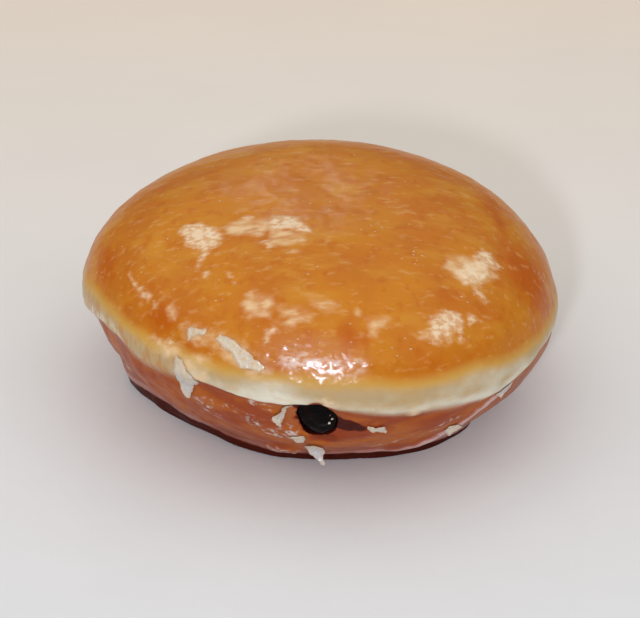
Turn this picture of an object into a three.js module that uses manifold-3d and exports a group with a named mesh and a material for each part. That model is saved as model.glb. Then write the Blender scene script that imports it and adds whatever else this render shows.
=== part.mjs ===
// A filled doughnut, in millimetres, +Z up, standing on the XY plane with the origin below the middle of its
// outline. Azimuth 0 is the front, where the filling hole is (-Y), and azimuths grow towards +X.
//
// The dough is one fried solid: a full, flat-topped crown above the waist, and a side that rolls under to the
// flat underside. A nozzle has pushed a channel through the side and left a pool of jam in the middle. The jam
// is one piece: the pool, the channel and the bead that closes the hole. The dried sugar glaze lifts off in
// flakes, and each flake is a thin curved plate that lies on the dough or hangs from it.
import * as THREE from "three";
import { mergeVertices } from "three/addons/utils/BufferGeometryUtils.js";
import Module from "manifold-3d";

const DEGREE = Math.PI / 180;

// The dough's outside.
const HEIGHT = 44;
const WAIST_RADIUS = 45;
const WAIST_HEIGHT = 22.6;
const WAIST_RISE_TO_FRONT = 3;
const WAIST_DROP_TO_RIGHT = 0.7;
const CROWN_POWER = 2.7; // 2 is an ellipse, more is a flatter crown with fuller shoulders
const SIDE_POWER = 2.05;
const SIDE_DEPTH = 1.21; // how deep the side's curve would run without the flat underside, in waist heights
const WIDER_THAN_DEEP = 0.02; // shares of the waist's radius
const OVAL = 0.033; // the long axis runs from the front right to the back left
const THREE_SIDED = [0.011, 0.002];
const FOOT_LOBES = { count: 6, share: 0.02, azimuth: 40 };
const ROUND_STEPS = 64;
const CROWN_STEPS = 14;
const SIDE_STEPS = 10;

// The filling.
const HOLE = { azimuth: -1, height: 17.9, halfWidth: 3.8, halfHeight: 4.7 };
const POOL = { radius: 20, halfThickness: 6.5, height: 22.5 };
const BEAD_PROUD = 1.2; // how far the jam bulges out of the hole
const CLEARANCE = 0.3; // between the jam and the dough

// The flakes of glaze. Each outline's corners are [right, up] in millimetres, measured along the dough from
// the flake's middle. tip is how far the flake's lower end swings out sideways, away from the dough.
const FLAKE_THICKNESS = 0.5;
const FLAKE_CLEARANCE = 0.4;
const FLAKES = [
  {
    name: "hanging_glaze_flake",
    azimuth: -2,
    height: 8.9,
    tip: 4.4,
    outline: [
      [-2.1, -0.1], [-0.6, 0.9], [0.3, 1], [1.4, 0.3], [1.9, -1.5], [2, -4.1], [2.5, -5.2],
      [1.4, -4.9], [-1.1, -2.4], [-2, -0.9],
    ],
  },
  {
    name: "glaze_chip_below_hole",
    azimuth: -6.5,
    height: 12.1,
    tip: 0.5,
    outline: [[-1.9, -0.5], [-1.1, 0.8], [0, 1.4], [1.1, 1], [1.4, 0], [1.1, -1.6], [-0.7, -1.5]],
  },
  {
    name: "glaze_curl_left_of_hole",
    azimuth: -9.8,
    height: 19.6,
    tip: 0.7,
    outline: [
      [1.7, 3.1], [0.5, 2.4], [-0.3, 1], [-0.4, -0.3], [-1.9, -1], [-2.1, -2.1], [-1.4, -2.8],
      [-0.5, -3.9], [0.1, -1.5], [0.6, 0.9], [2.1, 2.4],
    ],
  },
  {
    name: "glaze_chip_right_of_hole",
    azimuth: 13.2,
    height: 16.3,
    tip: 0.4,
    outline: [
      [-1.8, 1], [-0.8, 1.1], [0, 0.2], [1.6, 0.8], [2.1, -1.6], [0.1, -0.6], [-0.4, -1.1],
      [-1.3, -0.1],
    ],
  },
  {
    name: "glaze_drip_left",
    azimuth: -35.8,
    height: 22.8,
    tip: 0.6,
    outline: [
      [-2.2, 2.9], [-2.8, -1.4], [-2.7, -3.8], [-2, -5.9], [-0.5, -5.7], [0.5, -2.8], [1.3, -1.7],
      [2.8, -0.7], [1.9, 1.4], [0.7, 1.8], [0.6, 3.1], [-0.4, 4.2], [-1.9, 4.6],
    ],
  },
  {
    name: "glaze_strip_peeling",
    azimuth: -20.2,
    height: 30.4,
    tip: 0.3,
    outline: [
      [-5.7, 1.8], [-5, 3], [-1.8, 2.3], [0.8, 1.2], [4.9, -1], [4.7, -1.9], [1.6, -1.8],
      [0.2, -1.9], [-2, 0.2],
    ],
  },
  {
    name: "glaze_chip_on_left_shoulder",
    azimuth: -34.2,
    height: 32,
    tip: 0.2,
    outline: [[-1.8, 0.6], [2, 1.3], [2.1, 0.4], [0, -0.6], [-1, -1.8], [-1.5, -0.3]],
  },
  {
    name: "glaze_chip_on_right_rim",
    azimuth: 47.5,
    height: 18,
    tip: 0.5,
    outline: [
      [-2.1, -0.2], [-1.8, 0.5], [0.5, 1], [2.6, 0.8], [2.9, -0.6], [0.6, -0.7], [-0.9, -1.2],
    ],
  },
  {
    name: "glaze_chip_lower_right",
    azimuth: 36.5,
    height: 10.6,
    tip: 0.6,
    outline: [[-2.3, 0.2], [-1.4, 1.6], [0.4, 1.9], [2.2, 0.6], [1.6, -0.9], [-0.6, -1.3]],
  },
];

// Radius of the waist at an azimuth in radians.
function waistRadius(azimuth) {
  const [threeSin, threeCos] = THREE_SIDED;
  return (
    WAIST_RADIUS *
    (1 -
      WIDER_THAN_DEEP * Math.cos(2 * azimuth) +
      OVAL * Math.sin(2 * azimuth) +
      threeSin * Math.sin(3 * azimuth) +
      threeCos * Math.cos(3 * azimuth))
  );
}

function waistHeight(azimuth) {
  return WAIST_HEIGHT + WAIST_RISE_TO_FRONT * Math.cos(azimuth) - WAIST_DROP_TO_RIGHT * Math.sin(azimuth);
}

// How far the outside is from the axis, as a share of the waist's radius. level is 1 at the crown, 0 at the waist
// and -1 at the underside, in equal steps of height above and below the waist.
function profileShare(level) {
  if (level >= 0) return Math.pow(Math.max(0, 1 - level * level), 1 / CROWN_POWER);
  return Math.pow(1 - (level / SIDE_DEPTH) ** 2, 1 / SIDE_POWER);
}

function footShare(azimuth, level) {
  const below = Math.max(0, -level);
  const wave = Math.cos(FOOT_LOBES.count * (azimuth - FOOT_LOBES.azimuth * DEGREE));
  return 1 + FOOT_LOBES.share * wave * below ** 2;
}

function levelAt(azimuth, height) {
  const waist = waistHeight(azimuth);
  return height >= waist ? (height - waist) / (HEIGHT - waist) : height / waist - 1;
}

// The point on the outside at an azimuth in radians and a height.
function onDough(azimuth, height) {
  const level = levelAt(azimuth, height);
  const radius = waistRadius(azimuth) * profileShare(level) * footShare(azimuth, level);
  return new THREE.Vector3(radius * Math.sin(azimuth), -radius * Math.cos(azimuth), height);
}

// The outward direction there, from the slope along the azimuth and along the height.
function outwardAt(azimuth, height) {
  const step = 0.01;
  const along = onDough(azimuth + step, height).sub(onDough(azimuth - step, height));
  const up = onDough(azimuth, Math.min(height + step, HEIGHT)).sub(onDough(azimuth, height - step));
  return along.cross(up).normalize();
}

// The body of revolution with the mean profile, moved point by point to the oval waist and the foot's lobes.
function doughOutside() {
  const profile = [new THREE.Vector2(0, 0)];
  for (let i = 0; i <= SIDE_STEPS; i++) {
    const level = i / SIDE_STEPS - 1;
    profile.push(new THREE.Vector2(profileShare(level), level));
  }
  for (let i = 1; i < CROWN_STEPS; i++) {
    const level = Math.sin((i / CROWN_STEPS) * (Math.PI / 2));
    profile.push(new THREE.Vector2(profileShare(level), level));
  }
  profile.push(new THREE.Vector2(0, 1));
  profile[0].y = -1;
  const geometry = new THREE.LatheGeometry(profile, ROUND_STEPS);
  geometry.rotateX(Math.PI / 2);
  const points = geometry.getAttribute("position");
  for (let i = 0; i < points.count; i++) {
    const azimuth = Math.atan2(points.getX(i), -points.getY(i));
    const share = Math.hypot(points.getX(i), points.getY(i));
    const level = points.getZ(i);
    const waist = waistHeight(azimuth);
    const radius = share * waistRadius(azimuth) * footShare(azimuth, level);
    const height = level >= 0 ? waist + level * (HEIGHT - waist) : waist * (1 + level);
    points.setXYZ(i, radius * Math.sin(azimuth), -radius * Math.cos(azimuth), height);
  }
  return geometry;
}

// The jam's three shapes, each grown by the given amount: the pool, the channel and the bead in the hole.
function fillingShapes(grow) {
  const mouth = onDough(HOLE.azimuth * DEGREE, HOLE.height);
  const outward = outwardAt(HOLE.azimuth * DEGREE, HOLE.height);
  const middle = new THREE.Vector3(0, 0, POOL.height);
  const taller = (HOLE.halfHeight + grow) / (HOLE.halfWidth + grow);

  const pool = new THREE.SphereGeometry(1, 40, 20);
  pool.rotateX(Math.PI / 2);
  pool.scale(POOL.radius + grow, POOL.radius + grow, POOL.halfThickness + grow);
  pool.translate(...middle);

  const run = mouth.clone().sub(middle);
  const channel = new THREE.CylinderGeometry(HOLE.halfWidth + grow, HOLE.halfWidth + grow, run.length(), 24);
  const along = new THREE.Vector3(run.x, run.y, run.z / taller).normalize();
  channel.scale(1, Math.hypot(run.x, run.y, run.z / taller) / run.length(), 1);
  channel.applyQuaternion(new THREE.Quaternion().setFromUnitVectors(new THREE.Vector3(0, 1, 0), along));
  channel.scale(1, 1, taller);
  channel.translate(...middle.clone().add(mouth).multiplyScalar(0.5));

  const bead = new THREE.SphereGeometry(HOLE.halfWidth + grow, 24, 14);
  bead.scale(1, 1, taller);
  bead.translate(...mouth.clone().addScaledVector(outward, BEAD_PROUD - HOLE.halfWidth));
  return [pool, channel, bead];
}

// A flake is a thin plate bent to follow the dough, just clear of it.
function flakeGeometry({ azimuth, height, outline, tip }) {
  const shape = new THREE.Shape(outline.map(([right, up]) => new THREE.Vector2(right, up)));
  const plate = new THREE.ExtrudeGeometry(shape, { depth: FLAKE_THICKNESS, bevelEnabled: false });
  const lowest = Math.min(...outline.map(([, up]) => up));
  const middle = onDough(azimuth * DEGREE, height);
  const distance = Math.hypot(middle.x, middle.y);
  const outward = outwardAt(azimuth * DEGREE, height);
  const rise = Math.hypot(outward.x, outward.y); // height gained for each millimetre up along the dough
  const sideways = new THREE.Vector3(outward.x, outward.y, 0).normalize();
  const points = plate.getAttribute("position");
  for (let i = 0; i < points.count; i++) {
    const azimuthHere = azimuth * DEGREE + points.getX(i) / distance;
    const heightHere = height + points.getY(i) * rise;
    const at = onDough(azimuthHere, heightHere)
      .addScaledVector(outward, FLAKE_CLEARANCE + points.getZ(i))
      .addScaledVector(sideways, tip * Math.max(0, points.getY(i) / lowest) ** 2);
    points.setXYZ(i, at.x, at.y, at.z);
  }
  return plate;
}

const wasm = await Module();
wasm.setup();

function toSolid(geometry) {
  const bare = geometry.index ? geometry.toNonIndexed() : geometry.clone();
  bare.deleteAttribute("normal");
  bare.deleteAttribute("uv");
  const merged = mergeVertices(bare, 1e-4);
  return new wasm.Manifold(
    new wasm.Mesh({
      numProp: 3,
      vertProperties: merged.getAttribute("position").array,
      triVerts: new Uint32Array(merged.index.array),
    }),
  );
}

function toGeometry(solid) {
  const mesh = solid.getMesh();
  const geometry = new THREE.BufferGeometry();
  geometry.setAttribute("position", new THREE.BufferAttribute(mesh.vertProperties, 3));
  geometry.setIndex(new THREE.BufferAttribute(mesh.triVerts, 1));
  return geometry;
}

function joined(geometries) {
  return geometries.map(toSolid).reduce((all, next) => all.add(next));
}

const crust = new THREE.MeshStandardMaterial({ color: 0xc07a2c, roughness: 0.3, metalness: 0 });
const jam = new THREE.MeshStandardMaterial({ color: 0x1a0710, roughness: 0.12, metalness: 0 });
const driedGlaze = new THREE.MeshStandardMaterial({ color: 0xe9e2d6, roughness: 0.4, metalness: 0 });

const doughnut = new THREE.Group();

function addPiece(name, geometry, material) {
  const piece = new THREE.Mesh(geometry, material);
  piece.name = name;
  doughnut.add(piece);
}

addPiece("dough", toGeometry(toSolid(doughOutside()).subtract(joined(fillingShapes(CLEARANCE)))), crust);
addPiece("jam_filling", toGeometry(joined(fillingShapes(0))), jam);
FLAKES.forEach((flake) => addPiece(flake.name, flakeGeometry(flake), driedGlaze));

const bounds = new THREE.Box3().setFromObject(doughnut);
const centre = bounds.getCenter(new THREE.Vector3());
doughnut.position.set(-centre.x, -centre.y, -bounds.min.z);

export default doughnut;
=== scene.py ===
"""A glazed, jam-filled doughnut on a pale floor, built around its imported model.

Shapes are worked out in millimetres around the doughnut's own axis and turned into metres in the row frame
when each mesh is made. Azimuths are in degrees from the front (-Y), where the filling hole is, and grow
towards +X.
"""
import math

import bpy
import numpy as np
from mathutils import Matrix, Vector
from mathutils.bvhtree import BVHTree
from mathutils.geometry import delaunay_2d_cdt


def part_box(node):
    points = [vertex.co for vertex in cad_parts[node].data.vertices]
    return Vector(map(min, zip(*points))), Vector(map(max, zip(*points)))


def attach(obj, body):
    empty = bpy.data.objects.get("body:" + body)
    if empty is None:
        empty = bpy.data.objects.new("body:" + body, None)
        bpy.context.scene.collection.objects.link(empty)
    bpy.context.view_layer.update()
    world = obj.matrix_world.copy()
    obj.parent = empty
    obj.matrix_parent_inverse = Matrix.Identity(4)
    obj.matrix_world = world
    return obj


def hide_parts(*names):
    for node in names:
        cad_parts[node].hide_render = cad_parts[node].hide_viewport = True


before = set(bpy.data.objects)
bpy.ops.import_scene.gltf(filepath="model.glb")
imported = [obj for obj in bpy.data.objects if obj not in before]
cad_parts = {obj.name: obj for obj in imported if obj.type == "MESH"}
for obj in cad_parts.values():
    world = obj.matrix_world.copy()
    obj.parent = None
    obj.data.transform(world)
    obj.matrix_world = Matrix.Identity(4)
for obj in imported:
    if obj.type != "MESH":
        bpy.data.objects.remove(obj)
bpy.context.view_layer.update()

MM = 0.001

# The dough's outside, as in the model.
HEIGHT = 44.0
WAIST_RADIUS = 45.0
WAIST_HEIGHT = 22.6
WAIST_RISE_TO_FRONT = 3.0
WAIST_DROP_TO_RIGHT = 0.7
CROWN_POWER = 2.7
SIDE_POWER = 2.05
SIDE_DEPTH = 1.21
WIDER_THAN_DEEP = 0.02
OVAL = 0.033
THREE_SIDED_SIN = 0.011
THREE_SIDED_COS = 0.002
FOOT_LOBES = 6
FOOT_LOBE_SHARE = 0.02
FOOT_LOBE_AZIMUTH = math.radians(40)
FOOT_ROUNDING = 3.0

# The foot is wider than the model's. Its flat underside is spread out from this radius to the lip.
FOOT_FLAT_RADIUS = 24.3
# The side ends in a lip over the floor: its radius and its height, in mm, by azimuth.
LIP_RADIUS = [
    (-170, 30.5), (-150, 33.5), (-130, 36.6), (-115, 38.2), (-104, 38.9), (-95, 39.3), (-89, 38.9),
    (-83, 37.1), (-77, 34.9), (-70, 33.1), (-63, 31.7), (-54, 30.2), (-44, 28.9), (-34, 28.5), (-9, 28.0),
    (15, 28.2), (30, 30.0), (45, 31.9), (53, 32.6), (60, 32.8), (66, 32.6), (80, 31.5), (100, 30.5),
    (150, 30.0),
]
LIP_HEIGHT = [
    (-150, 0.8), (-115, 0.8), (-92, 1.6), (-82, 2.5), (-70, 2.9), (-55, 2.6), (-44, 2.2), (-24, 1.7),
    (38, 1.6), (50, 1.0), (60, 0.3), (110, 0.5),
]
# How far the side runs inwards under the lip, in mm per mm of height, by azimuth.
LIP_UNDERCUT = [(-110, 0.3), (-50, 0.2), (-30, 0), (45, 0), (60, 0.3), (150, 0.3)]
# Above the lip the side slopes out as if to this radius, in this many mm of height, and no further than a
# share of the waist's radius.
SLOPE_RADIUS = 47.0
SLOPE_RISE = 26.0
SLOPE_LIMIT = 0.95
# How far the side below the band stands out from the model's, in mm, by azimuth.
SIDE_OUT = [
    (-130, 0), (-95, -0.7), (-82, -1.1), (-68, -0.9), (-55, -0.5), (-42, -1.0), (-25, -1.0), (-10, -0.8),
    (0, -0.7), (35, -0.7), (55, -0.2), (70, 0.5), (88, 0.4), (110, 0),
]
# How pink the glaze is that pooled over the lip, from 0 to 1, by azimuth.
LIP_PINKNESS = [
    (-120, 0.5), (-90, 0.8), (-70, 0.8), (-58, 0.6), (-38, 0.4), (-20, 0.4), (-13, 1.0), (-6, 0.4), (18, 0.5),
    (50, 0.7), (80, 0.4),
]

# The filling hole, its middle and its size along the dough.
HOLE_AZIMUTH = -1.0
HOLE_HEIGHT = 17.9
HOLE_HALF_WIDTH = 3.8
HOLE_HALF_HEIGHT = 5.1
MOUTH_DEPTH = 6.0  # mm inwards over which the hole takes on its uneven outline
MOUTH_WIDTH_SHARE = 0.93
MOUTH_LEAN = 0.06  # mm to the left per mm upwards
# The jam's face lies flatter than the model's, from this many mm inside the hole outwards, and its top sinks.
JAM_FACE_DEPTH = 3.2
JAM_FACE_SHARE = 0.4
JAM_TOP_SINKS = 1.2
# The voxels that the jam and the cutter for its room are remeshed with, and the gap between them, in mm.
JAM_VOXEL = 0.45
CUTTER_VOXEL = 0.6
JAM_CLEARANCE = 0.3
# Crumbs of glaze on the face, painted pale as glints of light: mm right and up of the mouth's middle, and the
# radius.
JAM_GLINT_CRUMBS = [(2.0, 0.5, 0.36), (2.5, -0.4, 0.34), (1.9, -1.3, 0.48)]
CRUMB_PROUD = 0.3

# The dough's mesh: squares along each edge of the cube that it is spread from, and how much closer together
# they are at the front than they would be if they were even.
CUBE_STEPS = 120
FRONT_DENSITY = 0.25


# -----------------------------------------------------------------------------
# The dough's shape
# -----------------------------------------------------------------------------

def waist_radius(azimuth):
    return WAIST_RADIUS * (
        1
        - WIDER_THAN_DEEP * np.cos(2 * azimuth)
        + OVAL * np.sin(2 * azimuth)
        + THREE_SIDED_COS * np.cos(3 * azimuth)
        + THREE_SIDED_SIN * np.sin(3 * azimuth)
    )


def waist_height(azimuth):
    return WAIST_HEIGHT + WAIST_RISE_TO_FRONT * np.cos(azimuth) - WAIST_DROP_TO_RIGHT * np.sin(azimuth)


def side_share(level):
    """The radius as a share of the waist's. The level is -1 at the underside, 0 at the waist and 1 on top."""
    crown = np.clip(1 - level**2, 0, 1) ** (1 / CROWN_POWER)
    side = (1 - (level / SIDE_DEPTH) ** 2) ** (1 / SIDE_POWER)
    return np.where(level >= 0, crown, side)


def place(azimuth, share, level):
    """The point, in mm, at an azimuth in radians, a share of the waist's radius and a level."""
    waist = waist_height(azimuth)
    below = np.clip(-level, 0, 1)
    lobes = 1 + FOOT_LOBE_SHARE * np.cos(FOOT_LOBES * (azimuth - FOOT_LOBE_AZIMUTH)) * below**2
    radius = waist_radius(azimuth) * share * lobes
    height = np.where(level >= 0, waist + level * (HEIGHT - waist), waist * (1 + level))
    return np.stack([radius * np.sin(azimuth), -radius * np.cos(azimuth), height], axis=-1)


def level_at(azimuth, height):
    waist = waist_height(azimuth)
    return np.where(height >= waist, (height - waist) / (HEIGHT - waist), height / waist - 1)


def on_side(azimuth, height):
    """The point of the dough at an azimuth in radians and a height in mm."""
    level = level_at(azimuth, height)
    return place(azimuth, side_share(level), level)


def profile():
    """The mean profile from the underside's middle to the crown's: shares and levels at even arc lengths."""
    fine = 400
    base = np.linspace(0, side_share(np.array(-1.0)), fine)
    side = np.linspace(-1, 0, fine)
    crown = np.sin(np.linspace(0, math.pi / 2, fine))
    share = np.concatenate([base, side_share(side), side_share(crown)])
    level = np.concatenate([np.full(fine, -1.0), side, crown])
    height = np.where(level >= 0, level * (HEIGHT - WAIST_HEIGHT), level * WAIST_HEIGHT)
    length = np.concatenate([[0], np.cumsum(np.hypot(np.diff(share) * WAIST_RADIUS, np.diff(height)))])
    even = np.linspace(0, length[-1], 3 * fine)
    share = np.interp(even, length, share)
    level = np.interp(even, length, level)
    # The corner of the foot is rounded by averaging over a short stretch of the profile.
    foot = even[np.argmax(level > -1)]
    reach = int(FOOT_ROUNDING / (even[1] - even[0]))
    weight = np.clip(2 - abs(even - foot) / FOOT_ROUNDING, 0, 1)
    average = np.ones(2 * reach + 1) / (2 * reach + 1)
    padded_share = np.pad(share, reach, mode="reflect", reflect_type="odd")
    padded_level = np.pad(level, reach, mode="edge")
    share += weight * (np.convolve(padded_share, average, "valid") - share)
    level += weight * (np.convolve(padded_level, average, "valid") - level)
    return even / even[-1], share, level


def smooth_noise(points, size, seed):
    """Noise from -1 to 1 in lumps of a size in mm."""
    lattice = np.random.default_rng(seed).uniform(-1, 1, (32, 32, 32))
    spot = points / size + 100
    cell = np.floor(spot).astype(int)
    share = spot - cell
    share = share * share * (3 - 2 * share)
    total = np.zeros(len(points))
    for corner in np.ndindex(2, 2, 2):
        weight = np.where(corner, share, 1 - share).prod(axis=1)
        x, y, z = ((cell + corner) % 32).T
        total += weight * lattice[x, y, z]
    return total


def rough_noise(points, size, seed, octaves=3):
    """Noise with finer lumps on the coarse ones."""
    total = np.zeros(len(points))
    for octave in range(octaves):
        total += smooth_noise(points, size / 2**octave, seed + octave) / 2**octave
    return total


def ramp(value, low, high):
    """0 below low and 1 above high, with a smooth step between."""
    share = np.clip((value - low) / (high - low), 0, 1)
    return share * share * (3 - 2 * share)


def by_azimuth(table, azimuth):
    """The table's values at azimuths in radians. Each row is an azimuth in degrees and its value."""
    angles, values = zip(*table)
    return np.interp(np.degrees(azimuth), angles, values, period=360)


def distance_to_edges(points, start, end):
    """Distance from each point to the nearest of the straight edges that run from start to end."""
    edge = end - start
    offset = points[:, None, :] - start[None]
    share = np.clip((offset * edge).sum(-1) / (edge**2).sum(-1), 0, 1)
    return np.linalg.norm(offset - share[..., None] * edge, axis=-1).min(axis=1)


def distance_to_outline(points, outline):
    start = np.array(outline, float)
    return distance_to_edges(points, start, np.roll(start, -1, axis=0))


def inside_outline(points, outline):
    """How far inside a closed outline each flat point is: negative outside it."""
    start = np.array(outline, float)
    end = np.roll(start, -1, axis=0)
    x, y = points[:, :1], points[:, 1:]
    crosses = (start[:, 1] > y) != (end[:, 1] > y)
    rise = np.where(end[:, 1] == start[:, 1], 1, end[:, 1] - start[:, 1])
    crossing = start[:, 0] + (y - start[:, 1]) / rise * (end[:, 0] - start[:, 0])
    inside = (crosses & (x < crossing)).sum(axis=1) % 2 == 1
    return np.where(inside, 1, -1) * distance_to_outline(points, outline)


FAR_OUTSIDE = -9.0  # mm inside a mark, for points that are nowhere near it
REACH = 20.0  # mm from a mark's middle that its outline can reach
FAR_FROM_HOLE = 9.0  # for points out of the hole's reach, which is 1 at its rim


class Spot:
    """A place on the dough, with its directions right, up along the dough and outward."""

    def __init__(self, azimuth, height):
        self.azimuth = math.radians(azimuth)
        self.height = height
        small = 0.01
        self.middle = on_side(self.azimuth, height)
        along = on_side(self.azimuth + small, height) - on_side(self.azimuth - small, height)
        top = min(height + small, HEIGHT)
        rise = on_side(self.azimuth, top) - on_side(self.azimuth, height - small)
        outward = np.cross(along, rise)
        self.outward = outward / np.linalg.norm(outward)
        right = np.cross([0, 0, 1], self.outward)
        self.right = right / np.linalg.norm(right)
        self.up = np.cross(self.outward, self.right)

    def local(self, points):
        """Millimetres right and up of the spot, and the distance from it."""
        offset = points - self.middle
        return offset @ self.right, offset @ self.up, np.linalg.norm(offset, axis=1)

    def blob(self, points, half_width, half_height, turn=0.0):
        """About how far inside an ellipse on the dough each point is, in mm."""
        right, up, distance = self.local(points)
        angle = math.radians(turn)
        across = right * math.cos(angle) + up * math.sin(angle)
        along = up * math.cos(angle) - right * math.sin(angle)
        inside = 1 - np.hypot(across / half_width, along / half_height)
        return np.where(distance < REACH, inside * min(half_width, half_height), FAR_OUTSIDE)

    def patch(self, points, outline):
        """How far inside an outline on the dough each point is, in mm."""
        right, up, distance = self.local(points)
        near = distance < REACH
        inside = np.full(len(points), FAR_OUTSIDE)
        inside[near] = inside_outline(np.column_stack([right, up])[near], outline)
        return inside


# -----------------------------------------------------------------------------
# Marks on the dough. A patch is (azimuth, height, outline), and its outline's corners are (right, up) in mm
# along the dough. A blob is (azimuth, height, half width, half height, turn in degrees), in mm along the
# dough.
# -----------------------------------------------------------------------------

CRUST_PATCHES = [
    # The heart on the left of the crown.
    (-56.5, 41.3, [
        (-5.7, -1.9), (-6.4, -0.3), (-5.6, 1.1), (-3.8, 2.4), (-2.2, 3.1), (0.6, 3.7), (2.4, 3.3), (3.9, 1.4),
        (3.8, -1.2), (4.3, -2.0), (3.2, -2.6), (1.2, -2.5), (-0.1, -3.3), (-1.7, -3.3), (-3.4, -2.5),
    ]),
    # The kite left of the middle.
    (-22.8, 43.4, [
        (-4.2, 0.2), (-4.5, 2.3), (-3.4, 2.9), (-1.0, 3.8), (0.3, 3.9), (2.2, 1.9), (4.9, 0.4), (4.9, -0.5),
        (3.4, -1.0), (1.3, -0.9), (-0.6, -1.3), (-2.1, -2.2), (-3.4, -1.9),
    ]),
    # The broad patch at the right, and the tail in front of it.
    (53.5, 38.1, [
        (-4.1, 3.2), (-1.6, 2.6), (0.4, 1.7), (2.2, 2.2), (3.4, 3.0), (5.6, 2.4), (6.1, 1.2), (5.6, -0.5),
        (5.7, -2.5), (4.6, -2.7), (3.3, -1.4), (1.9, -0.7), (-0.3, -2.6), (-3.3, -2.8), (-4.1, -0.9),
        (-5.5, 0.6),
    ]),
    (46.8, 36.0, [(-0.5, 2.0), (0.7, 1.6), (0.7, -1.9), (-0.2, -1.9)]),
    # The patch with two legs and a tail in front of it.
    (31.5, 33.8, [
        (-1.6, 2.9), (0.6, 3.7), (2.0, 3.7), (5.0, 2.2), (4.9, 0.8), (4.1, -0.8), (3.3, -2.6), (2.4, -2.5),
        (2.4, -0.6), (1.7, -0.6), (0.3, -2.2), (-0.4, -1.7), (-0.9, -0.9), (-1.8, -1.8), (-3.2, -1.1),
        (-3.3, -0.3), (-4.8, 0.1), (-4.3, 1.0), (-3.0, 1.2),
    ]),
    (40.8, 34.1, [(-0.8, 0.9), (0.2, 1.0), (1.4, -0.9), (0.8, -1.2), (-1.0, -0.3)]),
    # The hook and the torn bits on the left shoulder.
    (-55.2, 33.6, [(-1.1, -0.6), (-1.3, 0.7), (0.0, 0.4), (1.2, 0.5), (1.0, -0.9)]),
    (-60.8, 34.1, [(-3.2, 0.8), (-1.2, 0.1), (0.7, 0.1), (2.2, 0.4), (2.4, -0.1), (0.7, -0.5), (-1.2, -0.5)]),
    (-41.5, 28.9, [(-2.0, -0.7), (-0.3, 0.6), (1.9, 0.2), (0.6, -0.4)]),
    # The crumbs beside the peeling strip.
    (-13.8, 34.3, [(-1.0, -1.1), (-1.0, 0.6), (0.8, 1.4), (1.6, 1.1), (0.2, 0.2), (-0.1, -1.7)]),
]
CRUST_BLOBS = [
    # Under the heart, its drip.
    (-48.6, 40.3, 0.8, 1.7, 25),
    (-46.8, 39.4, 0.5, 0.8, 25),
    (-41.2, 39.0, 0.6, 0.5, 0),
    # Crumbs around the kite.
    (-52.5, 43.2, 0.9, 0.5, 30),
    (-42.2, 43.2, 0.8, 0.5, 20),
    (-37.0, 42.8, 0.7, 0.5, 20),
    (-29.0, 42.5, 1.2, 0.8, 20),
    (-11.5, 42.9, 0.9, 0.6, 10),
    (-14.3, 42.3, 0.7, 0.4, 10),
    (-33.0, 39.7, 0.5, 0.4, 0),
    (-29.5, 39.1, 0.5, 0.4, 0),
    # A white drop on the pale band, over the hole, and crumbs on the shoulder.
    (1.3, 23.9, 1.5, 1.0, -20),
    (-41.5, 27.2, 0.6, 0.5, 0),
    (-50.6, 33.2, 0.7, 0.4, 0),
    # A chip of glaze on the left corner of the lip.
    (-84.0, 5.5, 0.9, 0.7, 0),
]
MILKY_PATCHES = [
    # The streak between the heart and the kite, and the thin film in front of the kite.
    (-44.8, 42.9, [
        (-4.5, -2.3), (-2.7, 2.2), (0.9, 4.2), (3.1, 2.9), (3.8, -0.6), (1.1, -2.4), (-2.3, -3.9),
    ]),
    (-19.0, 43.0, [(-4.5, 1.8), (-0.4, 1.8), (2.9, 2.3), (3.7, -0.4), (1.6, -2.2), (-2.8, -3.5)]),
    # The film around the broad patch.
    (49.8, 39.0, [
        (-3.1, 2.9), (-0.7, 4.1), (1.0, 3.5), (2.1, 2.2), (2.9, 0.6), (6.4, -1.7), (4.8, -5.1), (1.8, -4.9),
        (-3.4, -2.0), (-4.1, 0.4), (-4.0, 1.9),
    ]),
    # Three smears in front of the kite, and the torn one to their right.
    (-18.5, 37.5, [
        (-3.5, -1.1), (-3.2, 3.0), (-0.7, 2.9), (1.7, 3.1), (2.4, 1.6), (2.6, -0.2), (3.0, -1.7), (0.5, -2.4),
        (-1.2, -3.0), (-2.6, -1.8),
    ]),
    (-8.0, 36.9, [
        (-4.1, 1.9), (0.6, 2.1), (2.1, 1.2), (4.6, 0.6), (3.4, -0.2), (0.7, -1.0), (0.5, -2.2), (-2.9, -2.0),
        (-1.2, -0.5), (-3.1, 0.8),
    ]),
    (0.5, 38.3, [
        (-3.1, 1.8), (-0.8, 1.4), (1.2, 1.1), (2.9, 0.0), (2.5, -1.2), (0.7, -2.2), (-0.7, -1.1), (-2.6, 0.2),
    ]),
    (13.0, 36.5, [
        (-1.9, 2.7), (-1.2, 1.1), (2.4, 0.8), (3.4, 0.4), (3.0, -0.8), (0.9, -1.5), (0.4, -2.5), (-0.5, -2.5),
        (0.0, -1.0), (-0.8, 0.0), (-2.1, 0.9), (-2.5, 2.0),
    ]),
    # The torn ring on the left shoulder.
    (-44.2, 33.5, [(-1.5, 0.9), (-0.8, 1.4), (1.3, 0.5), (1.4, -1.1), (0.5, -1.5), (-1.1, -0.3)]),
]
MILKY_BLOBS = [
    # Around the peeling strip and the drip.
    (-21.0, 30.6, 7.0, 2.4, -18),
    (-34.0, 31.8, 3.4, 1.6, 0),
    (-33.5, 25.5, 4.6, 2.6, 30),
    # In front of the dome, under the light, where the milky glaze is partly a painted haze around the
    # highlight.
    (-6.0, 31.6, 3.6, 1.7, 10),
    (4.5, 30.8, 4.0, 2.0, 0),
    (-2.0, 31.0, 6.0, 1.6, 0),
    (-42.0, 27.5, 4.5, 1.5, 0),
    (21.5, 20.2, 1.3, 1.2, 0),
]
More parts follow.
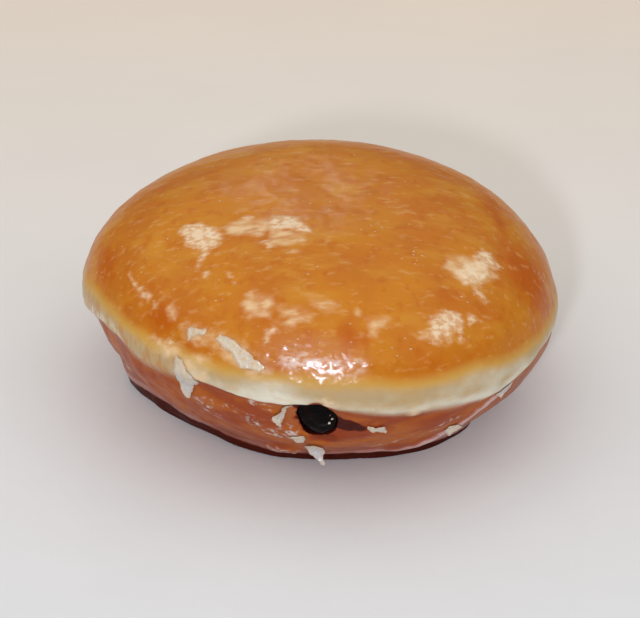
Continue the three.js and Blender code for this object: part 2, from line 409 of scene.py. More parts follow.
# Where the glaze on the lower side has dried to a white, crackled film.
FILM_BLOBS = [
    (-33.0, 15.4, 3.4, 1.6, -50),
    (-26.0, 17.5, 4.0, 0.8, -15),
    (-16.0, 20.8, 2.6, 1.3, -15),
    (-19.5, 15.4, 3.2, 1.4, -35),
    (-13.5, 12.4, 3.6, 1.5, -35),
    (-9.5, 13.6, 2.0, 2.2, 0),
    (-13.0, 5.4, 3.2, 1.6, 0),
    (18.0, 9.5, 3.0, 0.9, 10),
    (27.0, 12.0, 2.2, 0.7, 10),
    (33.0, 14.0, 2.0, 1.0, 20),
]
# Where the crust fried darkest.
DEEP_BLOBS = [
    (-46.5, 31.9, 5.5, 3.6, 20),
    (-35.0, 30.0, 3.0, 2.0, 0),
    (7.3, 34.9, 3.6, 4.2, 0),
    (36.5, 37.5, 2.6, 2.0, 0),
    (68.0, 33.0, 7.0, 9.0, 0),
    (92.0, 38.5, 14.0, 3.0, 0),
    (-78.0, 33.0, 6.0, 4.0, 0),
]
# Lumps and dents in the dough: a blob and how far out its middle is, in mm.
LUMPS = [
    (-13.0, 5.0, 4.5, 3.0, 0, 0.9),
    (21.5, 20.2, 1.5, 1.4, 0, 0.7),
    (-42.0, 8.0, 7.0, 3.0, 0, 0.5),
    (28.0, 7.0, 8.0, 3.0, 0, 0.4),
    (7.0, 34.5, 3.0, 2.4, 0, -0.35),
    (16.0, 31.0, 2.0, 1.6, 0, 0.3),
    (11.0, 30.8, 1.4, 1.2, 0, 0.3),
    (-8.0, 32.5, 2.6, 1.4, 0, -0.3),
]
# Jam that has soaked in beside the hole: a blob and how strong it is.
JAM_STAINS = [
    (5.0, 17.3, 4.2, 2.3, -14, 1.4),
    (8.3, 16.3, 3.0, 1.4, -14, 1.1),
    (-4.8, 18.4, 1.3, 3.2, 0, 0.8),
    (9.0, 14.6, 3.2, 2.2, 0, 0.5),
    (4.8, 14.4, 3.0, 2.4, 0, 0.5),
    (1.0, 12.4, 3.8, 1.9, 0, 0.65),
    (-5.6, 20.8, 2.4, 1.0, -35, 1.3),
    (-5.4, 17.2, 2.0, 1.1, 15, 1.3),
    (-4.0, 14.8, 2.2, 1.4, -30, 0.8),
]
# The wet lumps over the hole, and the dent at its left: blobs without a turn.
WET_LUMPS = (-3, 31.5, 15, 6.5)
DENT = (-5.6, 18.4, 4.4, 4.6)

# The pale band's edges: (azimuth, mm above the waist) and (azimuth, mm below it).
BAND_TOP = [
    (-150, 1.0), (-95, 2.0), (-76, 3.8), (-65, 4.2), (-56, 3.0), (-47, 1.9), (-39, 2.4), (-16, 2.0), (0, 2.6),
    (20, 1.7), (38, 2.1), (50, 0.8), (90, 1.0), (150, 1.2),
]
BAND_BOTTOM = [
    (-150, 3.5), (-90, 3.0), (-76, 1.2), (-68, 0.7), (-60, 1.2), (-56, 2.4), (-50, 3.6), (-43, 3.6),
    (-37, 3.0), (-32, 1.9), (-16, 3.2), (0, 2.8), (20, 4.7), (45, 6.0), (61, 2.5), (90, 3.2), (150, 4.0),
]
# How white the band is, from tan at 0 to cream at 1.
BAND_WHITENESS = [
    (-120, 0.4), (-85, 0.55), (-66, 0.4), (-55, 0.1), (-42, 0.0), (-33, 0.4), (-22, 0.3), (-10, 0.9),
    (0, 0.15), (12, 0.3), (30, 0.5), (48, 0.7), (58, 0.2), (70, 0.3), (120, 0.5),
]
# How blurred the band's lower edge is, from crisp at 0.
BAND_BLUR = [
    (-110, 0.6), (-76, 0.1), (-66, 0.1), (-58, 0.35), (-42, 0.7), (-34, 0.3), (-30, 0), (0, 0.05), (8, 0.3),
    (30, 0.4), (45, 0.15), (60, 0.1), (110, 0.5), (150, 0.3),
]
# Where fine upright wrinkles and streaks cross the left end of the band, from 0 to 1.
LEFT_END = [(-100, 0), (-88, 0.7), (-60, 1), (-44, 1), (-34, 0), (150, 0)]
# The glaze's lower edge at the right front, as (azimuth, height): a low ridge.
RIDGE = [(-2, 3.0), (8, 4.0), (16, 5.2), (25, 6.8), (33, 8.8), (38, 11.6), (45, 16.6), (52, 19.8), (58, 21.6)]


def wavering(points):
    """The points moved a little, so that the edges of what is drawn there are uneven."""
    return points + 0.35 * np.stack([rough_noise(points, 2.4, seed, 2) for seed in (11, 21, 31)], axis=-1)


def blob_at(points, azimuth, height, *shape):
    """How far inside a blob each point is, in mm."""
    return Spot(azimuth, height).blob(points, *shape)


def marks(points, patches, blobs):
    """How far inside the nearest of the patches and blobs each point is, in mm."""
    points = wavering(points)
    inside = np.full(len(points), FAR_OUTSIDE)
    for azimuth, height, outline in patches:
        inside = np.maximum(inside, Spot(azimuth, height).patch(points, outline))
    for blob in blobs:
        inside = np.maximum(inside, blob_at(points, *blob))
    return inside


def hidden_side_blobs(count, low, high, largest, seed):
    """Blobs between two heights, scattered by a seeded generator over the side that faces away."""
    random = np.random.default_rng(seed)
    blobs = []
    for _ in range(count):
        size = largest * random.uniform(0.25, 1)
        azimuth = random.uniform(125, 235)
        height = random.uniform(low, high)
        blobs.append((azimuth, height, size * random.uniform(0.9, 1.6), size, random.uniform(-40, 40)))
    return blobs


def ridge_distance(points, azimuth):
    """Distance in mm from the glaze's lower edge at the right front."""
    angles, heights = (np.array(column, float) for column in zip(*RIDGE))
    line = on_side(np.radians(angles), heights)
    nearest = np.full(len(points), -FAR_OUTSIDE)
    near = (azimuth > math.radians(-20)) & (azimuth < math.radians(80)) & (points[:, 2] < HEIGHT / 2 + 4)
    nearest[near] = distance_to_edges(wavering(points)[near], line[:-1], line[1:])
    return nearest


# -----------------------------------------------------------------------------
# Meshes
# -----------------------------------------------------------------------------

def axis_offset():
    """Where the doughnut's own axis stands in the row frame, in mm, from the CAD dough's box."""
    azimuth = np.linspace(0, 2 * math.pi, 64, endpoint=False)
    waist = place(azimuth, 1.0, np.zeros(64))
    low, high = (np.array(corner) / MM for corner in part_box("dough"))
    offset = (low + high) / 2 - (waist.min(axis=0) + waist.max(axis=0)) / 2
    offset[2] = low[2]
    return offset


AXIS = axis_offset()


def to_frame(points):
    """From mm around the doughnut's axis to metres in the row frame."""
    return (points + AXIS) * MM


def new_object(name, points, faces):
    mesh = bpy.data.meshes.new(name)
    mesh.from_pydata(to_frame(points).tolist(), [], faces)
    mesh.polygons.foreach_set("use_smooth", [True] * len(mesh.polygons))
    mesh.validate()
    thing = bpy.data.objects.new(name, mesh)
    bpy.context.scene.collection.objects.link(thing)
    return thing


def set_attribute(thing, name, values):
    attribute = thing.data.attributes.new(name, "FLOAT", "POINT")
    attribute.data.foreach_set("value", np.asarray(values, np.float32))


def mesh_points(thing):
    points = np.empty(len(thing.data.vertices) * 3)
    thing.data.vertices.foreach_get("co", points)
    return points.reshape(-1, 3) / MM - AXIS


def move_points(thing, points):
    thing.data.vertices.foreach_set("co", to_frame(points).ravel())
    thing.data.update()


def add_modifier(thing, kind, **settings):
    modifier = thing.modifiers.new(kind.lower(), kind)
    for setting, value in settings.items():
        setattr(modifier, setting, value)


def apply_modifiers(thing):
    bpy.context.view_layer.update()
    evaluated = thing.evaluated_get(bpy.context.evaluated_depsgraph_get())
    mesh = bpy.data.meshes.new_from_object(evaluated)
    thing.modifiers.clear()
    old = thing.data
    thing.data = mesh
    bpy.data.meshes.remove(old)


def copy_of_node(node, name):
    """The node's mesh in an object of its own, with its vertices joined."""
    thing = bpy.data.objects.new(name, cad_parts[node].data.copy())
    bpy.context.scene.collection.objects.link(thing)
    add_modifier(thing, "WELD", merge_threshold=0.01 * MM)
    apply_modifiers(thing)
    return thing


def cube_sphere(steps):
    """The points and faces of a cube's grid spread over the unit sphere, closer together at the front."""
    turn = np.tan(np.linspace(-1, 1, steps + 1) * math.pi / 4)
    index = {}
    points = []
    faces = []
    for axis in range(3):
        for side in (-1, 1):
            grid = np.empty((steps + 1, steps + 1), int)
            for i, j in np.ndindex(grid.shape):
                corner = [0.0, 0.0, 0.0]
                corner[axis] = float(side)
                corner[(axis + 1) % 3] = turn[i] * side
                corner[(axis + 2) % 3] = turn[j]
                key = tuple(round(value, 6) for value in corner)
                if key not in index:
                    index[key] = len(points)
                    points.append(corner)
                grid[i, j] = index[key]
            quads = np.stack([grid[:-1, :-1], grid[1:, :-1], grid[1:, 1:], grid[:-1, 1:]], axis=-1)
            faces.extend(quads.reshape(-1, 4).tolist())
    points = np.array(points)
    points /= np.linalg.norm(points, axis=1, keepdims=True)
    points[:, 1] -= FRONT_DENSITY
    return points / np.linalg.norm(points, axis=1, keepdims=True), faces


def vertex_normals(points, faces):
    quads = np.array(faces)
    across = points[quads[:, 2]] - points[quads[:, 0]]
    other = points[quads[:, 3]] - points[quads[:, 1]]
    face_normals = np.cross(across, other)
    normals = np.zeros_like(points)
    for corner in range(4):
        np.add.at(normals, quads[:, corner], face_normals)
    return normals / np.linalg.norm(normals, axis=1, keepdims=True)


# -----------------------------------------------------------------------------
# The dough
# -----------------------------------------------------------------------------

def band_edges(points, azimuth):
    """Millimetres above the pale band and below it, along Z, with an uneven edge."""
    above_waist = points[:, 2] - waist_height(azimuth)
    above = above_waist - by_azimuth(BAND_TOP, azimuth) + 0.5 * rough_noise(points, 9, 41, 3)
    below = -above_waist - by_azimuth(BAND_BOTTOM, azimuth) + 0.35 * rough_noise(points, 6, 45)
    return above, below


def hole_distance(points):
    """1 at the rim of the filling hole, less inside it and more outside."""
    right, up, distance = Spot(HOLE_AZIMUTH, HOLE_HEIGHT).local(points)
    across = (right + MOUTH_LEAN * up) / (HOLE_HALF_WIDTH * MOUTH_WIDTH_SHARE)
    waver = 1 + 0.14 * smooth_noise(points, 3.0, 51)
    return np.where(distance < REACH, np.hypot(across, up / HOLE_HALF_HEIGHT) * waver, FAR_FROM_HOLE)


def dent(points):
    """1 in the dent left of the hole and 0 outside it."""
    return ramp(blob_at(wavering(points), *DENT), -0.2, 1.1)


def jam_stain(points):
    """How much jam has soaked into the dough around the hole."""
    points = wavering(points)
    stain = 1 - ramp(hole_distance(points), 1.0, 1.15)
    for *blob, strength in JAM_STAINS:
        stain = np.maximum(stain, strength * ramp(blob_at(points, *blob), -0.3, 0.9))
    return stain


def lumpy(points):
    """1 where the glaze over the hole set in wet lumps, and 0 away from them."""
    return ramp(blob_at(points, *WET_LUMPS), 0, 4)


def layers_of_dough(points, azimuth):
    """What is on the dough: distances in mm, more than 0 inside a mark or past an edge, and shares."""
    above, below = band_edges(points, azimuth)
    crusts = CRUST_BLOBS + hidden_side_blobs(count=18, low=26, high=36, largest=3.4, seed=5)
    smears = MILKY_BLOBS + hidden_side_blobs(count=12, low=26, high=36, largest=5.0, seed=6)
    films = FILM_BLOBS + hidden_side_blobs(count=16, low=4, high=18, largest=3.6, seed=7)
    darkest = DEEP_BLOBS + hidden_side_blobs(count=8, low=27, high=38, largest=8.0, seed=8)
    return {
        "above_band": above,
        "below_band": below,
        "crust": marks(points, CRUST_PATCHES, crusts),
        "milky": marks(points, MILKY_PATCHES, smears),
        "film": marks(points, [], films),
        "deep": marks(points, [], darkest),
        "ridge": ridge_distance(points, azimuth),
        "dent": dent(points),
        "lumpy": lumpy(points),
        "unstained": 1 - jam_stain(points),
        "whiteness": by_azimuth(BAND_WHITENESS, azimuth),
        "band_blur": by_azimuth(BAND_BLUR, azimuth),
        "pinkness": by_azimuth(LIP_PINKNESS, azimuth),
        "left_end": by_azimuth(LEFT_END, azimuth),
    }


def lift_of_dough(points, azimuth, layers):
    """How far the dough stands out from its plain shape at each point, in mm."""
    above = layers["above_band"]
    below = layers["below_band"]
    lower = ramp(below, 0, 2)
    lift = 0.45 * smooth_noise(points, 22, 61) + 0.18 * rough_noise(points, 8, 63)
    lift += 0.05 * rough_noise(points, 2.2, 66, 2)
    # The band is the proudest part of the side, and steps in to the darker side below it.
    lift += 0.55 * ramp(-above, -2, 1.5) * (1 - ramp(below, -0.3 - 3 * layers["band_blur"], 0.5))
    lift += by_azimuth(SIDE_OUT, azimuth) * ramp(below, 0, 2.5)
    # Dried glaze is a thin raised layer.
    lift += 0.07 * ramp(layers["crust"], -0.3, 0.9) + 0.05 * ramp(layers["milky"], -0.2, 1.0)
    lift += 0.12 * ramp(layers["film"], -0.2, 0.5) * ramp(rough_noise(points, 1.6, 75), -0.2, 0.3)
    # The glaze over the hole is lumpy.
    lift += 0.16 * layers["lumpy"] * rough_noise(points, 3.2, 74, 2)
    # The side below the band is folded where the glaze ran and set, and ends in a ridge at the right.
    lift += 0.16 * lower * rough_noise(points * [1, 1, 1.8], 5, 71)
    lift += 0.5 * lower * (1 - ramp(layers["ridge"], 0.3, 1.3))
    # Fine upright wrinkles cross the left end of the band.
    wrinkles = rough_noise(points * [1, 1, 0.3], 1.9, 77, 2)
    lift += 0.14 * layers["left_end"] * ramp(-above, -1, 1) * wrinkles
    for *blob, out in LUMPS:
        lift += out * ramp(blob_at(points, *blob), -0.3, 1.6)
    # The dough is dented at the left of the hole, and rolls in at the hole's rim.
    rim = hole_distance(points)
    lift -= 0.9 * layers["dent"]
    lift -= 0.6 * (1 - ramp(rim, 1.0, 1.6)) + 0.8 * (1 - ramp(rim, 0.8, 1.12))
    return lift * ramp(points[:, 2], 0.5, 4)


def least_radius(azimuth, height, waver):
    """The side's least radius at each point: steep below the lip, and sloping out above it."""
    lip = by_azimuth(LIP_RADIUS, azimuth) + waver
    above_lip = height - by_azimuth(LIP_HEIGHT, azimuth)
    out = above_lip * (SLOPE_RADIUS - lip) / SLOPE_RISE
    under = above_lip * by_azimuth(LIP_UNDERCUT, azimuth)
    return np.minimum(lip + np.where(above_lip > 0, out, under), SLOPE_LIMIT * waist_radius(azimuth))


def widened_foot(points, azimuth, below_middle, waver):
    """The points, with the lower side's moved out to the lip and the underside's spread out after them."""
    radius = np.maximum(np.hypot(points[:, 0], points[:, 1]), 0.001)
    least = least_radius(azimuth, points[:, 2], waver)
    on_underside = radius * least_radius(azimuth, np.zeros(len(points)), 0) / FOOT_FLAT_RADIUS
    least = np.where(below_middle, np.minimum(on_underside, least), 0)
    points = points.copy()
    points[:, :2] *= (np.maximum(radius, least) / radius)[:, None]
    return points


def dough():
    spread, faces = cube_sphere(CUBE_STEPS)
    azimuth = np.arctan2(spread[:, 0], -spread[:, 1])
    elevation = np.arcsin(np.clip(spread[:, 2], -1, 1))
    along, share, level = profile()
    way = 0.5 + elevation / math.pi
    plain = place(azimuth, np.interp(way, along, share), np.interp(way, along, level))
    layers = layers_of_dough(plain, azimuth)
    points = plain + vertex_normals(plain, faces) * lift_of_dough(plain, azimuth, layers)[:, None]
    points[:, 2] = np.maximum(points[:, 2], 0)
    points = widened_foot(points, azimuth, elevation < 0, 0.3 * smooth_noise(plain, 4, 87))
    layers["above_lip"] = points[:, 2] - by_azimuth(LIP_HEIGHT, azimuth)
    thing = new_object("dough_body", points, faces)
    for name, values in layers.items():
        set_attribute(thing, name, values)
    return thing


# -----------------------------------------------------------------------------
# The jam and the room for it
# -----------------------------------------------------------------------------

def uneven_mouth(thing):
    """Makes the hole's end of the jam, or of its space, narrower and less even than the model's."""
    points = mesh_points(thing)
    mouth = Spot(HOLE_AZIMUTH, HOLE_HEIGHT)
    right, up, distance = mouth.local(points)
    out = (points - mouth.middle) @ mouth.outward
    near = ramp(out, -MOUTH_DEPTH, -MOUTH_DEPTH / 3) * (distance < MOUTH_DEPTH * 2)
    sideways = (MOUTH_WIDTH_SHARE - 1) * right - MOUTH_LEAN * up + 0.5 * smooth_noise(points, 2.4, 91)
    upwards = 0.4 * smooth_noise(points, 2.4, 92)
    moved = mouth.right * (near * sideways)[:, None] + mouth.up * (near * upwards)[:, None]
    move_points(thing, points + moved)


def jam():
    """The CAD jam, remeshed finely, with a low, wet face in the hole that sags from its top to its foot."""
    thing = copy_of_node("jam_filling", "jam")
    add_modifier(thing, "REMESH", mode="VOXEL", voxel_size=JAM_VOXEL * MM, use_smooth_shade=True)
    add_modifier(thing, "SMOOTH", factor=0.5, iterations=8)
    apply_modifiers(thing)
    uneven_mouth(thing)
    points = mesh_points(thing)
    mouth = Spot(HOLE_AZIMUTH, HOLE_HEIGHT)
    right, up, distance = mouth.local(points)
    out = (points - mouth.middle) @ mouth.outward
    lowered = out * JAM_FACE_SHARE - JAM_FACE_DEPTH * (1 - JAM_FACE_SHARE)
    lowered -= JAM_TOP_SINKS * ramp(up, -1, HOLE_HALF_HEIGHT)
    lowered += 0.25 * rough_noise(points, 2.2, 81, 2)
    # Small raised bumps on the face, whose attribute paints them pale as glints.
    glint_crumb = np.zeros(len(points))
    for crumb_right, crumb_up, radius in JAM_GLINT_CRUMBS:
        glint_crumb = np.maximum(glint_crumb, ramp(np.hypot(right - crumb_right, up - crumb_up), radius, 0))
    lowered += CRUMB_PROUD * glint_crumb
    in_mouth = ramp(out, -JAM_FACE_DEPTH, 0) * (distance < REACH)
    move_points(thing, points + mouth.outward * ((lowered - out) * in_mouth)[:, None])
    set_attribute(thing, "glint_crumb", glint_crumb * in_mouth)
    return thing


def cut_filling_space(thing):
    """Cuts the room that the jam takes out of the dough."""
    cutter = copy_of_node("jam_filling", "filling_space")
    add_modifier(cutter, "REMESH", mode="VOXEL", voxel_size=CUTTER_VOXEL * MM)
    add_modifier(cutter, "DISPLACE", strength=JAM_CLEARANCE * MM, mid_level=0.0)
    apply_modifiers(cutter)
    uneven_mouth(cutter)
    add_modifier(thing, "BOOLEAN", operation="DIFFERENCE", solver="MANIFOLD", object=cutter)
    apply_modifiers(thing)
    bpy.data.objects.remove(cutter)


# -----------------------------------------------------------------------------
# Loose flakes of glaze. Outlines are (right, up) in mm along the dough, as in the model. The tip is how far,
# in mm, the lower end hangs clear of the dough, and a larger curl lifts the rim higher.
# -----------------------------------------------------------------------------

FLAKES = {
    "hanging_glaze_flake": {
        "azimuth": -2, "height": 8.9, "tip": 4.4, "curl": 0.3,
        "outline": [
            (-2.1, -0.1), (-0.6, 0.9), (0.3, 1), (1.4, 0.3), (1.9, -1.5), (2, -4.1), (2.5, -5.2), (1.4, -4.9),
            (-1.1, -2.4), (-2, -0.9),
        ],
    },
    "glaze_chip_below_hole": {
        "azimuth": -6.5, "height": 12.1, "tip": 0.5, "curl": 0.2,
        "outline": [(-1.9, -0.5), (-1.1, 0.8), (0, 1.4), (1.1, 1), (1.4, 0), (1.1, -1.6), (-0.7, -1.5)],
    },
    "glaze_curl_left_of_hole": {
        "azimuth": -9.8, "height": 19.6, "tip": 0.7, "curl": 0.5,
        "outline": [
            (1.7, 3.1), (0.5, 2.4), (-0.3, 1), (-0.4, -0.3), (-1.9, -1), (-2.1, -2.1), (-1.4, -2.8),
            (-0.5, -3.9), (0.1, -1.5), (0.6, 0.9), (2.1, 2.4),
        ],
    },
    "glaze_chip_right_of_hole": {
        "azimuth": 13.2, "height": 16.3, "tip": 0.4, "curl": 0.25,
        "outline": [
            (-1.8, 1), (-0.8, 1.1), (0, 0.2), (1.6, 0.8), (2.1, -1.6), (0.1, -0.6), (-0.4, -1.1),
            (-1.3, -0.1),
        ],
    },
    "glaze_drip_left": {
        "azimuth": -35.8, "height": 22.8, "tip": 0.6, "curl": 0.1,
        "outline": [
            (-2.2, 2.9), (-2.8, -1.4), (-2.7, -3.8), (-2, -5.9), (-0.5, -5.7), (0.5, -2.8), (1.3, -1.7),
            (2.8, -0.7), (1.9, 1.4), (0.7, 1.8), (0.6, 3.1), (-0.4, 4.2), (-1.9, 4.6),
        ],
    },
    "glaze_strip_peeling": {
        "azimuth": -20.2, "height": 30.4, "tip": 0.3, "curl": 0.35,
        "outline": [
            (-5.7, 1.8), (-5, 3), (-1.8, 2.3), (0.8, 1.2), (4.9, -1), (4.7, -1.9), (1.6, -1.8), (0.2, -1.9),
            (-2, 0.2),
        ],
    },
    "glaze_chip_on_left_shoulder": {
        "azimuth": -34.2, "height": 32, "tip": 0.2, "curl": 0.2,
        "outline": [(-1.8, 0.6), (2, 1.3), (2.1, 0.4), (0, -0.6), (-1, -1.8), (-1.5, -0.3)],
    },
    "glaze_chip_on_right_rim": {
        "azimuth": 47.5, "height": 18, "tip": 0.5, "curl": 0.2,
        "outline": [(-2.1, -0.2), (-1.8, 0.5), (0.5, 1), (2.6, 0.8), (2.9, -0.6), (0.6, -0.7), (-0.9, -1.2)],
    },
    "glaze_chip_lower_right": {
        "azimuth": 36.5, "height": 10.6, "tip": 0.6, "curl": 0.2,
        "outline": [(-2.3, 0.2), (-1.4, 1.6), (0.4, 1.9), (2.2, 0.6), (1.6, -0.9), (-0.6, -1.3)],
    },
}
FLAKE_THICKNESS = 0.28
FLAKE_GRID = 0.16  # mm between the points inside a flake and along its edge
FLAKE_TEAR = 0.26  # how far its edge is out of true
FLAKE_GAP = 0.08  # between a flake and the dough
FLAKE_CRUMPLE = 0.10
RIM_WIDTH = 0.9  # mm over which its rim curls up


def torn_outline(corners, seed):
    """A closed outline with even, close points along the corners' edges, worn a little out of true."""
    corners = np.array(corners, float)
    points = []
    for start, end in zip(corners, np.roll(corners, -1, axis=0)):
        steps = max(2, int(np.linalg.norm(end - start) / FLAKE_GRID))
        points.extend(start + (end - start) * step / steps for step in range(steps))
    points = np.array(points)
    for _ in range(3):
        points = (np.roll(points, 1, axis=0) + 2 * points + np.roll(points, -1, axis=0)) / 4
    flat = np.column_stack([points, np.full(len(points), float(seed))])
    tear = np.column_stack([rough_noise(flat, 0.9, seed, 3), rough_noise(flat, 0.9, seed + 7, 3)])
    return points + FLAKE_TEAR * tear


def flat_sheet(outline):
    """The points and triangles of a flat outline, filled with an even grid."""
    low = outline.min(axis=0)
    high = outline.max(axis=0)
    lines = [np.arange(low[axis], high[axis], FLAKE_GRID) for axis in range(2)]
    grid = np.stack(np.meshgrid(*lines), -1).reshape(-1, 2)
    points = [Vector(point) for point in np.vstack([outline, grid])]
    loop = list(range(len(outline)))
    edges = list(zip(loop, loop[1:] + loop[:1]))
    found = delaunay_2d_cdt(points, edges, [loop], 1, 1e-5)
    flat = np.array([tuple(point) for point in found[0]])
    used = sorted({corner for face in found[2] for corner in face})
    number = {old: new for new, old in enumerate(used)}
    return flat[used], [tuple(number[corner] for corner in face) for face in found[2]]


def rest_on(surface, point, outward):
    """The point of the finished dough straight below a point of the plain one."""
    start = point + outward * 3
    hit = surface.ray_cast(Vector(to_frame(start)), Vector(-outward), 6 * MM)[0]
    return point if hit is None else np.array(hit) / MM - AXIS


def side_walls(triangles, count):
    """The quads that join a sheet's outer edges to those of its copy, whose points come count later."""
    directed = {(face[k], face[(k + 1) % 3]) for face in triangles for k in range(3)}
    return [(a, b, count + b, count + a) for a, b in sorted(directed) if (b, a) not in directed]


def flake(node, surface, seed):
    """A thin, slightly crumpled plate over the node's outline, resting on the dough's surface."""
    shape = FLAKES[node]
    outline = torn_outline(shape["outline"], seed)
    flat, triangles = flat_sheet(outline)
    count = len(flat)

    # The sheet is bent around the plain dough and put down on the finished one.
    spot = Spot(shape["azimuth"], shape["height"])
    height_share = math.hypot(spot.outward[0], spot.outward[1])
    azimuth = spot.azimuth + flat[:, 0] / math.hypot(spot.middle[0], spot.middle[1])
    base = on_side(azimuth, spot.height + flat[:, 1] * height_share)
    bottom = np.array([rest_on(surface, point, spot.outward) for point in base])

    # Its rim curls up, and its lower end hangs clear.
    inset = distance_to_outline(flat, outline)
    crumple = rough_noise(np.column_stack([flat, np.full(count, float(seed))]), 1.6, seed + 3, 2)
    lift = FLAKE_GAP + FLAKE_CRUMPLE * crumple + 0.6 * shape["curl"] * (1 - ramp(inset, 0, RIM_WIDTH))
    hang = shape["tip"] * np.clip(flat[:, 1] / flat[:, 1].min(), 0, None) ** 2
    sideways = np.array([spot.outward[0], spot.outward[1], 0.0]) / height_share
    bottom = bottom + spot.outward * lift[:, None] + sideways * hang[:, None]
    thickness = FLAKE_THICKNESS * (0.2 + 0.8 * ramp(inset, 0, 0.5))
    top = bottom + spot.outward * thickness[:, None]

    faces = [tuple(count + corner for corner in face) for face in triangles]
    faces += [tuple(reversed(face)) for face in triangles]
    faces += side_walls(triangles, count)
    thing = new_object(node + "_piece", np.vstack([bottom, top]), faces)
    set_attribute(thing, "inset", np.concatenate([inset, inset]))
    return thing


# -----------------------------------------------------------------------------
# Materials
# -----------------------------------------------------------------------------

# The numbers of a Mix node's colour sockets, which share their names with its other sockets.
MIX_FIRST_COLOUR = 6
MIX_SECOND_COLOUR = 7
MIX_RESULT_COLOUR = 2


class Paint:
    """A material's nodes, added one call at a time. Colours are linear RGB."""

    def __init__(self, name):
        self.material = bpy.data.materials.new(name)
        self.material.use_nodes = True
        self.tree = self.material.node_tree
        self.shader = self.tree.nodes["Principled BSDF"]
        self.position = self.add("ShaderNodeTexCoord").outputs["Object"]

    def add(self, kind, **settings):
        node = self.tree.nodes.new(kind)
        for setting, value in settings.items():
            setattr(node, setting, value)
        return node

    def feed(self, node, socket, value):
        if isinstance(value, bpy.types.NodeSocket):
            self.tree.links.new(value, node.inputs[socket])
        elif isinstance(value, tuple) and len(node.inputs[socket].default_value) == 4:
            node.inputs[socket].default_value = (*value, 1.0)
        else:
            node.inputs[socket].default_value = value

    def attribute(self, name):
        return self.add("ShaderNodeAttribute", attribute_name=name).outputs["Fac"]

    def math(self, operation, first, second=0.0):
        node = self.add("ShaderNodeMath", operation=operation)
        self.feed(node, 0, first)
        self.feed(node, 1, second)
        return node.outputs["Value"]

    def times(self, first, second):
        return self.math("MULTIPLY", first, second)

    def plus(self, first, second):
        return self.math("ADD", first, second)

    def stretched(self, x=1.0, y=1.0, z=1.0):
        """The position, scaled so that what is drawn there is longer along the axes under 1."""
        node = self.add("ShaderNodeMapping")
        self.feed(node, "Vector", self.position)
        self.feed(node, "Scale", (x, y, z))
        return node.outputs["Vector"]

    def separate(self, axis):
        node = self.add("ShaderNodeSeparateXYZ")
        self.feed(node, "Vector", self.position)
        return node.outputs[axis]

    def noise(self, size, detail=2.0, vector=None, roughness=0.5):
        """Noise from 0 to 1 with lumps of a size in mm."""
        node = self.add("ShaderNodeTexNoise")
        self.feed(node, "Vector", vector or self.position)
        self.feed(node, "Scale", 1 / (size * MM))
        self.feed(node, "Detail", detail)
        self.feed(node, "Roughness", roughness)
        return node.outputs["Fac"]

    def cells(self, size, vector=None):
        """Distance from scattered points about a size in mm apart, as a share of that size."""
        node = self.add("ShaderNodeTexVoronoi")
        self.feed(node, "Vector", vector or self.position)
        self.feed(node, "Scale", 1 / (size * MM))
        return node.outputs["Distance"]

    def step(self, value, low, high, start=0.0, end=1.0):
        """Start where the value is at low and end where it is at high, with a smooth step between."""
        node = self.add("ShaderNodeMapRange", interpolation_type="SMOOTHSTEP")
        self.feed(node, "Value", value)
        self.feed(node, "From Min", low)
        self.feed(node, "From Max", high)
        self.feed(node, "To Min", start)
        self.feed(node, "To Max", end)
        return node.outputs["Result"]

    def mix(self, factor, first, second):
        node = self.add("ShaderNodeMix", data_type="RGBA")
        self.feed(node, "Factor", factor)
        self.feed(node, MIX_FIRST_COLOUR, first)
        self.feed(node, MIX_SECOND_COLOUR, second)
        return node.outputs[MIX_RESULT_COLOUR]

    def bump(self, height, millimetres, under=None):
        node = self.add("ShaderNodeBump")
        self.feed(node, "Height", height)
        self.feed(node, "Strength", 1.0)
        self.feed(node, "Distance", millimetres * MM)
        if under is not None:
            self.feed(node, "Normal", under)
        return node.outputs["Normal"]

    def finish(self, **sockets):
        for socket, value in sockets.items():
            self.feed(self.shader, socket.replace("_", " "), value)
        return self.material


GOLD = (0.52, 0.150, 0.008)
LIGHT_GOLD = (0.565, 0.190, 0.009)
YELLOW_GOLD = (0.61, 0.265, 0.024)
DEEP_ORANGE = (0.48, 0.095, 0.002)
TAN = (0.49, 0.34, 0.17)
CREAM = (0.74, 0.68, 0.53)
STREAK_TAN = (0.50, 0.22, 0.06)
YELLOW = (0.58, 0.31, 0.06)
ORANGE_BROWN = (0.42, 0.098, 0.007)
RED_BROWN = (0.31, 0.050, 0.008)
FOOT_PINK = (0.38, 0.13, 0.09)
FOOT_BROWN = (0.28, 0.048, 0.014)
PINK_GLAZE_AND_SHEEN = (0.62, 0.42, 0.38)
FOOT_PAINTED_SHADE = (0.062, 0.008, 0.004)
AMBER = (0.55, 0.20, 0.03)
CRUST_CREAM = (0.84, 0.66, 0.44)
PAINTED_GLINT = (0.90, 0.76, 0.54)
LILAC_PAINTED_SHEEN = (0.80, 0.64, 0.62)
DENT_BROWN = (0.40, 0.105, 0.025)
JAM_BROWN = (0.30, 0.045, 0.008)
JAM_RED = (0.050, 0.004, 0.002)
JAM_BLACK = (0.0022, 0.0010, 0.0010)
JAM_PURPLE = (0.012, 0.0016, 0.0014)
JAM_PAINTED_GLINT = (0.72, 0.56, 0.44)
DRY_GLAZE = (0.83, 0.60, 0.36)
THIN_GLAZE = (0.72, 0.42, 0.16)
WHITE_GLAZE = (0.80, 0.72, 0.64)
FLAKE_GREY = (0.53, 0.49, 0.455)
FLAKE_TAN = (0.63, 0.51, 0.36)
FLAKE_WHITE = (0.69, 0.65, 0.59)
FLAKE_CREAM = (0.72, 0.56, 0.38)
FLAKE_WORN = (0.62, 0.36, 0.12)
FLAKE_RIM = (0.62, 0.40, 0.22)
PAPER_FRONT = (0.755, 0.735, 0.70)
PAPER_BACK_PAINTED_LIGHT = (0.83, 0.69, 0.54)
PAPER_GREY = (0.5, 0.45, 0.42)


